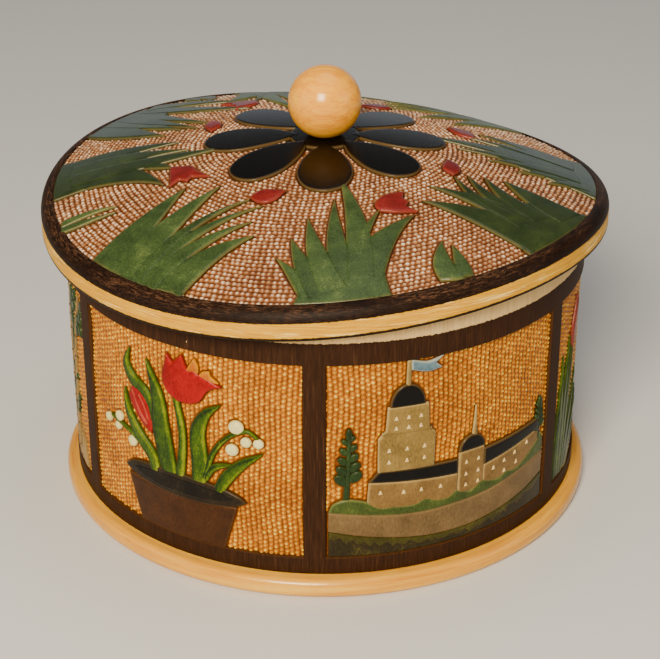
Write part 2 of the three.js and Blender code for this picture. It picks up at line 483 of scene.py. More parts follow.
# The wall's tulips get painted side light and shade.
TULIP = painted_wood(
    "tulip_red", (94, 4, 4), (148, 6, 8), (174, 22, 14), (160, 54, 34), 0.35,
    painted_side_light=0.1,
)
LID_TULIP = painted_wood(
    "lid_tulip_red", (80, 14, 12), (116, 26, 22), (150, 54, 42), (160, 84, 56), 0.3, shine=0.2,
)
BUD_PALE = painted_wood("bud_pale", (134, 34, 20), (164, 62, 42), (192, 104, 74), (164, 62, 42), 0.3)
PETAL_YELLOW = painted_wood(
    "petal_yellow", (150, 66, 0), (182, 104, 0), (206, 146, 0), (206, 150, 0), 0.5,
)
LILY = painted_wood(
    "lily_white", (196, 182, 116), (222, 212, 146), (240, 232, 182), (196, 170, 100), 0.4,
)
BLACK = painted_wood("black_stain", (6, 5, 5), (10, 8, 7), (18, 14, 11), OCHRE, 0.16, gloss=0.26)
BARK = painted_wood("pale_bark", (112, 86, 46), (152, 122, 72), (190, 160, 102), (110, 82, 44), 0.6)
POT = painted_wood("pot_brown", (40, 20, 6), (60, 33, 12), (84, 51, 22), (120, 82, 46), 0.35)
POT_RIM = painted_wood("pot_rim", (22, 16, 9), (36, 27, 16), (58, 45, 28), (112, 86, 48), 0.3)
SOIL = painted_wood("soil", (8, 6, 4), (20, 15, 9), (64, 52, 30), (20, 15, 9), 0.3)
STONE = painted_wood("stone_beige", (92, 72, 34), (130, 104, 54), (160, 132, 78), (206, 180, 120), 0.5)
HALL = painted_wood("hall_beige", (90, 66, 32), (124, 94, 50), (154, 122, 72), (204, 176, 118), 0.5)
WINDOW = painted_wood(
    "window_pale", (196, 166, 110), (222, 196, 140), (240, 218, 168), (200, 160, 100), 0.4,
)
ROAD = painted_wood("road_brown", (78, 60, 36), (104, 81, 50), (132, 106, 70), (150, 124, 84), 0.3)
BUSH = painted_wood("bush_green", (34, 44, 16), (62, 74, 30), (104, 110, 52), (150, 144, 84), 0.4)
WATER = painted_wood("water_dark", (20, 16, 10), (44, 36, 18), (96, 88, 28), (84, 72, 40), 0.3)
REED = painted_wood("reed_olive", (38, 34, 12), (62, 57, 18), (108, 100, 34), (70, 62, 26), 0.2)
TREE = painted_wood("tree_green", (18, 30, 13), (34, 51, 23), (56, 75, 35), (84, 92, 44), 0.2)
SKY_BLUE = painted_wood(
    "pennant_blue", (58, 78, 92), (88, 112, 124), (130, 148, 150), (196, 190, 160), 0.6,
)

# ---- Places on the carved surfaces -----------------------------------------------------


def panel_angle(index):
    """Azimuth of a panel's middle, from -Y towards +X. Panel 0 is at the front right."""
    return math.radians(FIRST_BAR_ANGLE + PANEL_PITCH * (index + 0.5))


def on_panel(index):
    """Places (across, height, rise) points on a panel's carved floor."""
    middle = panel_angle(index)

    def place(across, height, rise):
        angle = middle + across / PANEL_FLOOR_RADIUS
        radius = PANEL_FLOOR_RADIUS + rise
        return np.stack([radius * np.sin(angle), -radius * np.cos(angle), height], -1)

    return place


def on_lid(x, y, rise):
    """Places (x, y, rise) points on the lid's carved dome."""
    steep = 2 * DOME_RISE / LID_BAND_RADIUS ** 2
    height = DOME_BASE - GROUND_DEPTH + DOME_RISE * (1 - (x * x + y * y) / LID_BAND_RADIUS ** 2)
    height = height + warp_at(x, y)
    return np.stack([x * (1 + steep * rise), y * (1 + steep * rise), height + rise], -1)


# ---- Punched ground --------------------------------------------------------------------

MOTIF_EDGES = {BODY: [], LID: []}     # outlines of all motifs, in place on the surface


def clear_of_motifs(points, body):
    """From 0 at a motif's outline to 1 past the knife cut that frees it from the beads."""
    edges = np.vstack(MOTIF_EDGES[body])
    tree = KDTree(len(edges))
    for number, point in enumerate(edges):
        tree.insert(point, number)
    tree.balance()
    away = np.array([tree.find(point)[2] for point in points.reshape(-1, 3)])
    return smooth_step((away.reshape(points.shape[:-1]) - KNIFE_CUT) / KNIFE_SLOPE)


def bead_field(column, along, across, seed):
    """Bead height from 0 to 1 and a random tone, for points of a lattice of beads.

    column is the bead column's number, across the place in it from -0.5 to 0.5, and along the
    place down the column counted in beads.
    """
    draw = np.random.default_rng(seed)
    table = (64, 512)
    tones = draw.random(table)
    sizes = 0.86 + 0.22 * draw.random(table)
    aside = 0.22 * (draw.random(table) - 0.5)
    ahead = 0.3 * (draw.random(table) - 0.5)
    column = column.astype(int)
    row = np.floor(along).astype(int)
    cell = (column % table[0], row % table[1])
    size = sizes[cell]
    ridge = 0.2 * np.cos(np.clip(across, -0.5, 0.5) * math.pi)
    across = (across + aside[cell]) * 2 / size
    along = (along - row - 0.5 + ahead[cell]) * 2 / size
    dome = np.clip(1 - 1.3 * (across ** 2 + along ** 2), 0, 1) ** 0.7
    return np.maximum(dome * size, ridge), tones[cell]


def panel_ground(index):
    """The punched ground of one wall panel: upright columns of beads."""
    column_pitch, row_pitch = 1.95, 1.85
    place = on_panel(index)
    half = PANEL_HALF_WIDTH
    across = np.linspace(-half, half, round(2 * half / BEAD_STEP))
    height = np.linspace(PANEL_BOTTOM, PANEL_TOP, round((PANEL_TOP - PANEL_BOTTOM) / BEAD_STEP))
    height, across = np.meshgrid(height, across, indexing="ij")
    drift = 0.5 * np.sin(height / 17 + index) + 0.3 * np.sin(height / 6.1 + across / 23)
    columns = (across + drift) / column_pitch + 200
    column = np.floor(columns)
    sway = 0.35 * np.sin(across / 9 + index * 2.1)
    along = (height + sway) / row_pitch + 0.5 * (column % 2)
    bead, tone = bead_field(column, along, columns - column - 0.5, seed=index + 1)
    bead = bead * clear_of_motifs(place(across, height, BEAD_MIDDLE), BODY)
    points = place(across, height, GROUND_LIFT + BEAD_HEIGHT * bead)
    faces = grid_faces(*across.shape)
    values = {"bead": bead.ravel(), "tone": tone.ravel()}
    name = f"panel_ground_{index + 1}"
    piece = make_object(name, points.reshape(-1, 3), faces, WALL_GROUND, BODY, values)


def lid_ground(index, inner=16.0):
    """One sector of the lid's punched ground: beads in rings that follow the rim."""
    ring_pitch, bead_pitch = 1.85, 2.1
    outer = LID_BAND_RADIUS - 0.2
    start, width = 2 * math.pi * index / LID_SECTORS, 2 * math.pi / LID_SECTORS
    count = round(2 * math.pi * outer / LID_SECTORS / (BEAD_STEP * 1.1))
    turn = np.linspace(start, start + width, count)
    radius = np.linspace(inner, outer, round((outer - inner) / BEAD_STEP))
    radius, turn = np.meshgrid(radius, turn, indexing="ij")
    drift = 0.45 * np.sin(5 * turn + radius / 13) + 0.25 * np.sin(13 * turn - radius / 7)
    fade = smooth_step((outer - radius) / 12)
    rings = (outer - radius + drift * fade) / ring_pitch
    ring = np.clip(np.floor(rings), 0, None)
    beads_round = np.round(2 * math.pi * (outer - ring * ring_pitch) / bead_pitch)
    along = turn / (2 * math.pi) * beads_round + 0.5 * (ring % 2)
    bead, tone = bead_field(ring, along, rings - ring - 0.5, seed=31)
    x, y = radius * np.cos(turn), radius * np.sin(turn)
    bead = bead * clear_of_motifs(on_lid(x, y, BEAD_MIDDLE), LID)
    points = on_lid(x, y, GROUND_LIFT + BEAD_HEIGHT * bead).reshape(-1, 3)
    faces = grid_faces(*x.shape)[:, ::-1]
    values = {"bead": bead.ravel(), "tone": tone.ravel()}
    piece = make_object(f"lid_ground_{index + 1}", points, faces, LID_GROUND, LID, values)


# ---- Carved relief ---------------------------------------------------------------------


def curve_through(points, step=0.6):
    """Points every step mm on a smooth open curve through the given ones."""
    points = np.array(points, float)
    if len(points) == 2:
        count = max(2, round(np.hypot(*(points[1] - points[0])) / step) + 1)
        return points[0] + np.linspace(0, 1, count)[:, None] * (points[1] - points[0])
    padded = np.vstack([2 * points[0] - points[1], points, 2 * points[-1] - points[-2]])
    pieces = []
    for a, b, c, d in zip(padded, padded[1:], padded[2:], padded[3:]):
        count = max(2, round(np.hypot(*(c - b)) / step))
        t = np.linspace(0, 1, count, endpoint=False)[:, None]
        bend = 2 * b + (c - a) * t + (2 * a - 5 * b + 4 * c - d) * t ** 2
        pieces.append(0.5 * (bend + (3 * b - a - 3 * c + d) * t ** 3))
    return np.vstack([*pieces, points[-1:]])


def outline(*stretches):
    """A closed outline of smooth stretches that meet at corners.

    Each stretch starts where the one before it ends, and the last one ends at the first point.
    """
    chain = [list(stretches[0])]
    for stretch in stretches[1:]:
        chain.append([chain[-1][-1], *stretch])
    chain[-1].append(chain[0][0])
    return np.vstack([curve_through(stretch)[:-1] for stretch in chain])


def straight(*corners):
    """A closed outline with straight sides."""
    return outline(corners[:2], *([corner] for corner in corners[2:]), [])


def oval(x, y, half_width, half_height, turn=0.0):
    count = max(12, round(8 * max(half_width, half_height)))
    angle = np.linspace(0, 2 * math.pi, count, endpoint=False)
    across, up = half_width * np.cos(angle), half_height * np.sin(angle)
    cos, sin = math.cos(turn), math.sin(turn)
    return np.stack([x + across * cos - up * sin, y + across * sin + up * cos], -1)


def blade(base, tip, width, bend=0.0):
    """A pointed leaf from base to tip, widest at its base. bend moves its middle to its left."""
    base, tip = np.array(base, float), np.array(tip, float)
    along = tip - base
    side = np.array([-along[1], along[0]]) / np.hypot(*along)
    t = np.linspace(0, 1, max(8, round(np.hypot(*along) / 0.8)))[:, None]
    spine = base + along * t + side * bend * 4 * t * (1 - t)
    half = width / 2 * np.sin(math.pi * (0.5 + 0.5 * t))
    return np.vstack([spine - side * half, (spine + side * half)[-2::-1]])


def layered(edges, lowest, step=0.09):
    """Shells at three heights in turn, so that neighbours that cross do not lie in one plane."""
    return [(edge, lowest + step * (number % 3)) for number, edge in enumerate(edges)]


def inside(points, edge):
    """Which points lie in the closed outline."""
    x, y = points[:, :1], points[:, 1:]
    x0, y0 = edge[:, 0], edge[:, 1]
    x1, y1 = np.roll(x0, -1), np.roll(y0, -1)
    crosses = (y0 > y) != (y1 > y)
    rise = np.where(y1 == y0, 1e-9, y1 - y0)
    return (crosses & (x < (x1 - x0) * (y - y0) / rise + x0)).sum(1) % 2 == 1


def distance(points, loop):
    """Distance from each point to a closed loop of points."""
    along = np.roll(loop, -1, 0) - loop
    length = np.maximum((along ** 2).sum(1), 1e-12)
    offset = points[:, None] - loop[None]
    t = np.clip((offset * along).sum(2) / length, 0, 1)
    return np.sqrt(((offset - t[..., None] * along) ** 2).sum(2).min(1))


def carved_shell(edge, top, bevel=0.8, drop=0.45, crown=0.0):
    """A closed relief shell: flat or crowned on top, rounded at its edge, upright below it.

    Returns its points and faces, and two numbers for each point. rim is 1 on the cut edge. side is
    near 1 just inside a right edge, near -1 just inside a left edge and 0 elsewhere.
    """
    axes = [np.arange(low + RELIEF_SPACING / 2, high, RELIEF_SPACING)
            for low, high in zip(edge.min(0), edge.max(0))]
    field = np.stack(np.meshgrid(*axes), -1).reshape(-1, 2)
    ahead = np.roll(edge, -1, 0) - np.roll(edge, 1, 0)
    normal = np.stack([-ahead[:, 1], ahead[:, 0]], -1)
    normal /= np.maximum(np.hypot(*normal.T), 1e-9)[:, None]
    candidates = []
    for share in (0.3, 0.9):
        for side in (-1, 1):
            candidates.append((edge + side * normal * bevel * share, bevel * share * 0.9))
    candidates.append((field, bevel * 1.1))
    kept = [edge]
    for points, clearance in candidates:
        points = points[inside(points, edge)]
        kept.append(points[distance(points, edge) > clearance])
    flat = np.vstack(kept)
    loop = list(range(len(edge)))
    result = delaunay_2d_cdt([Vector(p) for p in flat], [], [loop], 1, 1e-4)
    flat = np.array([tuple(p) for p in result[0]])
    faces, boundary = orient(flat, [tuple(face) for face in result[2]])
    reach = distance(flat, edge)
    rise = top - drop * (1 - np.clip(reach / bevel, 0, 1)) ** 2
    rise = rise + crown * (1 - np.exp(-reach / 3))
    feet = {point: len(flat) + i for i, point in enumerate(boundary)}
    points = np.vstack([
        np.column_stack([flat, rise]),
        np.column_stack([flat[boundary], np.full(len(boundary), SHELL_FOOT)]),
    ])
    for a, b in zip(boundary, boundary[1:] + boundary[:1]):
        faces.append((a, feet[a], feet[b], b))
    faces.append(tuple(feet[point] for point in reversed(boundary)))
    rim = np.concatenate([np.exp(-(reach / 0.3) ** 2), np.ones(len(boundary))])
    # side is the mask of the painted side light and shade: lighter inside right edges, darker inside
    # left ones.
    beside = edge[((flat[:, None] - edge[None]) ** 2).sum(2).argmin(1), 0] - flat[:, 0]
    side = np.tanh(beside / 0.4) * np.exp(-(reach / 1.1) ** 2)
    return points, faces, rim, np.concatenate([side, side[boundary]])


def orient(flat, faces):
    """Faces turned to face up, and the boundary loop that they leave, anticlockwise."""
    turned_faces = []
    following = {}
    for face in faces:
        a, b, c = (flat[i] for i in face[:3])
        area = (b[0] - a[0]) * (c[1] - a[1]) - (b[1] - a[1]) * (c[0] - a[0])
        turned_faces.append(face if area > 0 else face[::-1])
    edges = {(f[i], f[(i + 1) % len(f)]) for f in turned_faces for i in range(len(f))}
    for a, b in edges:
        if (b, a) not in edges:
            following[a] = b
    start = next(iter(following))
    boundary = [start]
    while following[boundary[-1]] != start:
        boundary.append(following[boundary[-1]])
    return turned_faces, boundary


def anticlockwise(edge):
    """The outline, reversed if it runs clockwise."""
    x, y = edge.T
    return edge[::-1] if (np.roll(x, -1) * y - x * np.roll(y, -1)).sum() > 0 else edge


def relief(name, material, place, body, shells, seed=0, **settings):
    """One piece of carved shells of one colour, from (outline, height) pairs.

    A shell's pale rim turns into a dark seam where it crosses another shell.
    """
    draw = np.random.default_rng(seed)
    shells = [(anticlockwise(edge), top) for edge, top in shells]
    all_points, all_faces = [], []
    values = {"rim": [], "seam": [], "tone": [], "side": []}
    first = 0
    for number, (edge, top) in enumerate(shells):
        points, faces, rim, side = carved_shell(edge, top, **settings)
        covered = np.zeros(len(points), bool)
        for other, _ in shells[:number] + shells[number + 1:]:
            covered |= inside(points[:, :2], other)
        seam = np.where(covered, rim, 0)
        tone = np.full(len(points), draw.random() - 0.5)
        for value_name, numbers in zip(values, (rim - seam, seam, tone, side)):
            values[value_name].append(numbers)
        all_faces += [tuple(first + i for i in face) for face in faces]
        all_points.append(points)
        first += len(points)
        closed = curve_through(np.vstack([edge, edge[:1]]), step=0.5)
        MOTIF_EDGES[body].append(place(*closed.T, np.full(len(closed), BEAD_MIDDLE)))
    placed = place(*np.vstack(all_points).T)
    values = {value_name: np.concatenate(numbers) for value_name, numbers in values.items()}
    piece = make_object(name, placed, all_faces, material, body, values)


# ---- Turned pieces ---------------------------------------------------------------------


def base_plate():
    plug_radius = WALL_BORE_RADIUS - GAP
    plug_top = BASE_TOP
    inner = BASE_RADIUS - BASE_EDGE_RADIUS
    lower = rounded((BASE_RADIUS, BASE_EDGE_RADIUS), (inner, 0), 8)[::-1]
    upper = rounded((BASE_RADIUS, BASE_THICKNESS - BASE_EDGE_RADIUS), (inner, BASE_THICKNESS), 8)
    profile = [
        (0, 0), (60, 0), (100, 0), *lower, *upper,
        (plug_radius + 0.2, BASE_THICKNESS), (plug_radius, BASE_THICKNESS + 0.2),
        (plug_radius, plug_top - 0.4), (plug_radius - 0.4, plug_top), (60, plug_top), (0, plug_top),
    ]
    piece = turned("turned_base", profile, HONEY, BODY)
    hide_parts("base_plate")


def lid_body():
    hollow = []
    for radius in np.linspace(0, SPIGOT_BORE_RADIUS, 16):
        share = 1 - (radius / SPIGOT_BORE_RADIUS) ** 2
        hollow.append((radius, LID_BOTTOM + LID_HOLLOW_RISE * share))
    spigot_low = LID_BOTTOM - SPIGOT_DEPTH
    underside = [
        *hollow,
        (SPIGOT_BORE_RADIUS, spigot_low + 0.4), (SPIGOT_BORE_RADIUS + 0.4, spigot_low),
        (SPIGOT_RADIUS - 0.6, spigot_low), (SPIGOT_RADIUS, spigot_low + 0.6),
        (SPIGOT_RADIUS, LID_BOTTOM - 0.05), (SPIGOT_RADIUS + 0.05, LID_BOTTOM),
    ]
    edge = [
        (LID_RADIUS - 0.6, LID_BOTTOM), (LID_RADIUS - 0.15, LID_BOTTOM + 0.2),
        (LID_RADIUS, LID_BOTTOM + 0.6), (LID_RADIUS, LID_BOTTOM + 3),
    ]
    band = rounded((LID_RADIUS, LID_EDGE_TOP - 0.4), (LID_BAND_RADIUS, DOME_BASE), 10)
    ground = DOME_BASE - GROUND_DEPTH
    inward = [(LID_BAND_RADIUS - 0.25, DOME_BASE - 0.15), (LID_BAND_RADIUS - 0.4, ground)]
    for radius in np.linspace(LID_BAND_RADIUS - 1, 0, 24):
        inward.append((radius, ground - 0.1 + DOME_RISE * (1 - (radius / LID_BAND_RADIUS) ** 2)))
    profile = underside + edge + band + inward
    values = {
        "level": [height - LID_BOTTOM for _, height in profile],
        "bare": [1] * len(underside) + [0] * (len(profile) - len(underside)),
    }
    piece = turned("turned_lid", profile, LID_WOOD, LID, warped=True, values=values)
    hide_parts("domed_lid")


def ball_knob():
    start = math.asin((KNOB_FLAT - KNOB_CENTRE) / KNOB_RADIUS)
    profile = [(0, KNOB_FLAT), (3, KNOB_FLAT)]
    for angle in np.linspace(start, math.pi / 2, 48):
        profile.append((KNOB_RADIUS * math.cos(angle), KNOB_CENTRE + KNOB_RADIUS * math.sin(angle)))
    profile[-1] = (0, KNOB_TOP)
    piece = turned("turned_knob", profile, KNOB_WOOD, LID)
    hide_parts("ball_knob")


def wall_angles():
    """Degrees round the wall, close together where a bar's edge is cut."""
    slope = math.degrees(CUT_WIDTH / WALL_RADIUS)
    half = BAR_HALF_ANGLE
    near = [half / 3, half - 0.35, half - 0.08, half + 0.04, half + slope / 4]
    near += [half + slope / 2, half + slope * 0.75, half + slope]
    bar = [-angle for angle in reversed(near)] + near
    between = np.linspace(near[-1], PANEL_PITCH - near[-1], 24)[1:-1]
    around = []
    for index in range(PANEL_COUNT):
        start = FIRST_BAR_ANGLE + index * PANEL_PITCH
        around += [start + angle for angle in bar]
        around += [start + angle for angle in between]
    return np.array(around)


def wall_heights():
    """Heights up the outside, close together at the cuts, and heights down the bore."""
    cut = [0.0, 0.08, CUT_WIDTH / 4, CUT_WIDTH / 2, CUT_WIDTH * 0.75, CUT_WIDTH]
    outer = [WALL_BOTTOM, WALL_BOTTOM + 0.4, 11.0, PANEL_BOTTOM - 0.3]
    outer += [PANEL_BOTTOM + step for step in cut]
    outer += list(np.linspace(PANEL_BOTTOM + 4, PANEL_TOP - 4, 8))
    outer += [PANEL_TOP - step for step in reversed(cut)]
    outer += [PANEL_TOP + 0.3, 98.0, 101.0, WALL_WARP_START, 105.0, 107.0, WALL_TOP - 0.5, WALL_TOP]
    inner = [WALL_TOP, WALL_TOP - 0.5, 107.0, 105.0, WALL_WARP_START, 60.0, WALL_BOTTOM]
    return outer, inner


def wall_frame():
    """The wall's turned ring with its panels carved back and sloping cut edges round them."""
    around = wall_angles()
    outer, inner = wall_heights()
    height = np.array(outer + inner)
    to_bar = np.abs((around - FIRST_BAR_ANGLE + PANEL_PITCH / 2) % PANEL_PITCH - PANEL_PITCH / 2)
    from_bar = np.radians(to_bar - BAR_HALF_ANGLE) * WALL_RADIUS
    from_band = np.minimum(height - PANEL_BOTTOM, PANEL_TOP - height)
    into_panel = np.minimum(from_band[:, None], from_bar[None, :])
    radius = WALL_RADIUS - PANEL_DEPTH * smooth_step(into_panel / CUT_WIDTH)
    last = len(outer)
    # The bore, and softened corners at its top and at the outside's two ends.
    radius[0] -= 0.4
    radius[last - 1] -= 0.5
    radius[last:] = WALL_BORE_RADIUS
    radius[last] += 0.5
    angle = np.radians(around)[None, :]
    x, y = radius * np.sin(angle), -radius * np.cos(angle)
    share = np.clip((height - WALL_WARP_START) / (WALL_TOP - WALL_WARP_START), 0, 1)
    z = height[:, None] + share[:, None] * warp_at(x, y)
    points = np.stack([x, y, z], -1).reshape(-1, 3)
    bare = np.zeros(radius.shape)
    bare[last - 1:] = 1
    cut_share = smooth_step(into_panel / 0.3)
    cut_share[last:] = 0
    values = {"bare": bare.ravel(), "cut": cut_share.ravel()}
    faces = grid_faces(*radius.shape, wrap_rows=True, wrap_columns=True)
    piece = make_object("carved_frame", points, faces, FRAME, BODY, values)
    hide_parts("carved_wall")


# ---- The lid's carving -----------------------------------------------------------------


def spun(edge, degrees):
    """An outline or a list of points turned about the lid's middle."""
    turn = math.radians(degrees)
    x, y = np.array(edge, float).T
    cos, sin = math.cos(turn), math.sin(turn)
    return np.stack([x * cos - y * sin, x * sin + y * cos], -1)


def rim_arc(start, end):
    """Points along the inside of the rim band, between two angles in degrees from +X."""
    angles = np.radians(np.linspace(start, end, 5))
    radius = LID_BAND_RADIUS - 0.5
    return [(radius * math.cos(a), radius * math.sin(a)) for a in angles]


def rosette():
    """A generic eight-petalled rosette in black, round the knob."""
    petal = outline(
        [(9, 0), (20, -7.2), (33, -10.4), (43, -7.4), (46.5, 0), (43, 7.4), (33, 10.4), (20, 7.2)],
    )
    shells = [(spun(petal, 45 * index), 1.3) for index in range(8)]
    shells.append((oval(0, 0, 13.5, 13.5), 1.2))
    relief("lid_rosette", BLACK, on_lid, LID, shells, seed=5)


def tuft(name, blades, rim=None, heart=None, turn=0.0, seed=0, material=LEAF):
    """Leaves that grow inwards from the rim. rim is an angle range, heart closes their foot."""
    shells = []
    if heart:
        shells.append((outline(rim_arc(*rim), heart), 1.12))
    shells += layered([blade(*leaf) for leaf in blades], 1.16)
    shells = [(spun(edge, turn), top) for edge, top in shells]
    relief(name, material, on_lid, LID, shells, seed)


FRONT_TUFT = dict(
    rim=(-96, -77.5),
    heart=[(18, -86), (6, -82), (-5, -90)],
    blades=[
        ((-5, -102), (-17, -82), 6.5, -0.6),
        ((-1, -102), (-12, -72.5), 9.5, 1.0),
        ((3, -100), (-6, -62.5), 10, 1.5),
        ((7, -96), (3.5, -52), 9, 1.5),
        ((12, -96), (5, -36.5), 10.5, -2.5),
        ((11, -84), (20, -57.5), 4.5, 1.0),
        ((12, -101), (32, -60.5), 15, 4.0),
    ],
)
FRONT_LEFT_TUFT = dict(
    rim=(-141.6, -117.4),
    heart=[(-54, -76), (-63, -66), (-74, -60)],
    blades=[
        ((-78, -68), (-51.5, -33.5), 14, 0.0),
        ((-72, -76), (-38.5, -36.5), 13, 1.0),
        ((-66, -80), (-27, -48), 6.0, 4.5),
        ((-66, -82), (-22.5, -53), 6.5, 4.5),
        ((-62, -85), (-26, -61.5), 8, 3.5),
        ((-54, -89), (-25, -69.5), 12, 3.0),
    ],
)
LEFT_TUFT = dict(
    rim=(172, 189),
    heart=[(-78, -14), (-68, -6), (-74, 7), (-90, 11)],
    blades=[
        ((-99, 7), (-56, 6.5), 11, 1.0),
        ((-99, 1), (-52, -3), 12, 1.5),
        ((-98, -6), (-36.5, -6.5), 11, -1.5),
        ((-97, -8), (-60, -28), 15, 5.0),
        ((-68, -10), (-57, -17), 5, 0.5),
    ],
)
BACK_LEFT_TUFT = dict(
    rim=(136.5, 156),
    heart=[(-80, 40), (-68, 42), (-64, 58)],
    blades=[
        ((-92, 47), (-63, 17), 15, -2.0),
        ((-88, 54), (-57, 21), 11, -1.5),
        ((-83, 58), (-50, 19.5), 10, -3.0),
        ((-78, 62), (-45, 24), 9, -3.5),
        ((-76, 66), (-30, 41), 11, -4.0),
        ((-74, 70), (-37, 58), 12, 0.0),
    ],
)
FRONT_RIGHT_TUFT = dict(
    rim=(-46.5, -22.5),
    heart=[(82, -42), (68, -44), (58, -54), (62, -65)],
    blades=[
        ((76, -69), (35, -51.3), 15, -2.5),
        ((72, -58), (38, -40.8), 10, -2.0),
        ((68, -56), (47.8, -30.3), 6, 3.5),
        ((72, -54), (53, -28), 7.5, 3.0),
        ((79, -53), (59.3, -27.5), 9, 3.0),
        ((90, -47), (66.5, -28), 14, 1.5),
    ],
)
RIGHT_TUFT = dict(
    rim=(-12, 12.5),
    heart=[(78, 12), (66, 8), (66, -5), (80, -13)],
    blades=[
        ((98, 2), (36, 6.5), 12, 1.0),
        ((98, -2), (51, -3), 10, 0.0),
        ((98, -7), (62, -10), 9, -1.0),
        ((99, -10), (73, -15.5), 8, -1.0),
        ((100, -14), (84, -20), 7, -1.0),
        ((98, 7), (57, 13), 9, 0.0),
        ((98, 11), (61, 23), 12, 0.0),
    ],
)
SMALL_BLADES = dict(
    blades=[((44, -94), (41, -74.3), 9, 2.0), ((48, -92), (44.3, -76), 6.5, -0.5)],
)
SIDE_BLADES = dict(
    blades=[((-98, -36), (-77, -35), 4.0, 1.2), ((-98, -40), (-77, -38.6), 3.6, 0.0)],
)


def lid_leaves():
    tufts = [
        ("leaves_front", FRONT_TUFT, LEAF, 0), ("leaves_front_left", FRONT_LEFT_TUFT, LEAF, 0),
        ("leaves_left", LEFT_TUFT, LEAF_DARK, 0), ("leaves_back_left", BACK_LEFT_TUFT, LEAF_DARK, 0),
        ("leaves_front_right", FRONT_RIGHT_TUFT, LEAF_DARK, 0),
        ("leaves_right", RIGHT_TUFT, LEAF_DARK, 0),
        ("leaves_back", FRONT_TUFT, LEAF, 190), ("leaves_back_right", FRONT_LEFT_TUFT, LEAF, 180),
        ("blades_front_right", SMALL_BLADES, LEAF, 0), ("blades_left", SIDE_BLADES, LEAF, 0),
        ("blades_back_left", SMALL_BLADES, LEAF, 186), ("blades_back_right", SMALL_BLADES, LEAF, 140),
    ]
    for seed, (name, leaves, material, turn) in enumerate(tufts, 1):
        tuft(name, turn=turn, seed=seed, material=material, **leaves)


FRONT_TULIP = outline(
    [(19.5, -59.2), (17.8, -55.5), (20, -50.8), (24, -48), (28.5, -46.5)], [(28, -50.8)],
    [(29.8, -53), (29, -55.8)], [(33.2, -58.7)], [(26, -59.8)],
)
LEFT_BUD = outline(
    [(-27.2, -47), (-23.5, -43.4), (-19, -43.4), (-14.3, -45)],
    [(-17, -49), (-20.5, -51.2), (-24.5, -50.3)],
)
LEFT_TULIP = outline(
    [(-58.3, -16), (-54, -17.2), (-50, -18.3), (-47.8, -22.5)], [(-42.8, -28.5)], [(-49.5, -26.5)],
    [(-51.2, -29)], [(-54, -27)], [(-57.6, -30.6)], [(-58, -23)],
)
RIGHT_BUD = outline(
    [(47.6, -29.8), (44.5, -26.8), (44, -23), (46, -16.8)], [(50, -21.2), (50.2, -26.2)],
)
BACK_BUD = outline([(-45.8, 25), (-47.2, 19), (-44.5, 12.5)], [(-40.8, 18), (-42, 23.5)])
DARK_BUD = outline([(58.5, 12.8), (52, 15.5), (48.5, 23.5)], [(57.5, 22.5)])


def lid_flowers():
    flowers = [
        ("tulip_front", FRONT_TULIP, 0), ("bud_front_left", LEFT_BUD, 0), ("tulip_left", LEFT_TULIP, 0),
        ("bud_front_right", RIGHT_BUD, 0), ("bud_back_left", BACK_BUD, 0), ("bud_right", DARK_BUD, 0),
        ("tulip_back", FRONT_TULIP, 190), ("bud_back_right", LEFT_BUD, 180),
    ]
    for seed, (name, edge, turn) in enumerate(flowers):
        relief(name, LID_TULIP, on_lid, LID, [(spun(edge, turn), 1.35)], seed=seed, crown=0.25)


# ---- The wall's pictures ---------------------------------------------------------------


def carver(index, tag, mirror=False):
    """A function that carves one panel's pieces, whose names end in tag."""
    place = on_panel(index)

    def carve(name, material, shells, seed=0, **settings):
        if mirror:
            shells = [(edge * np.array([-1, 1]), top) for edge, top in shells]
        relief(f"{name}_{tag}", material, place, BODY, shells, seed, **settings)

    return carve


def ribbon(points, width, end_width=None):
    """A stem that tapers to end_width, or without one a leaf, along a line through the points."""
    spine = curve_through(points, step=0.9)
    ahead = np.gradient(spine, axis=0)
    side = np.stack([-ahead[:, 1], ahead[:, 0]], -1) / np.hypot(*ahead.T)[:, None]
    t = np.linspace(0, 1, len(spine))[:, None]
    if end_width is None:
        half = width / 2 * np.sin(math.pi * (0.2 + 0.8 * t)) ** 0.8
    else:
        half = (width + (end_width - width) * t) / 2
    half[-1] = max(half[-1, 0], 0.05)
    return np.vstack([spine - side * half, (spine + side * half)[::-1]])


def flower_pot(carve):
    pot = straight((-25.3, 33), (-19, PANEL_BOTTOM), (19, PANEL_BOTTOM), (24, 33))
    carve("pot", POT, [(pot, 1.35)])
    rim = outline(
        [(-27.2, 36), (-22, 39.4), (-12, 41.2), (2, 41.8), (16, 40.6), (24, 38.2), (27.6, 35.6)],
        [(22, 33.2), (8, 31.8), (-8, 32), (-22, 34)],
    )
    carve("pot_rim", POT_RIM, [(rim, 1.5)])
    carve("soil", SOIL, [(oval(0.5, 36.8, 22.5, 3.4), 1.62)], bevel=0.5)


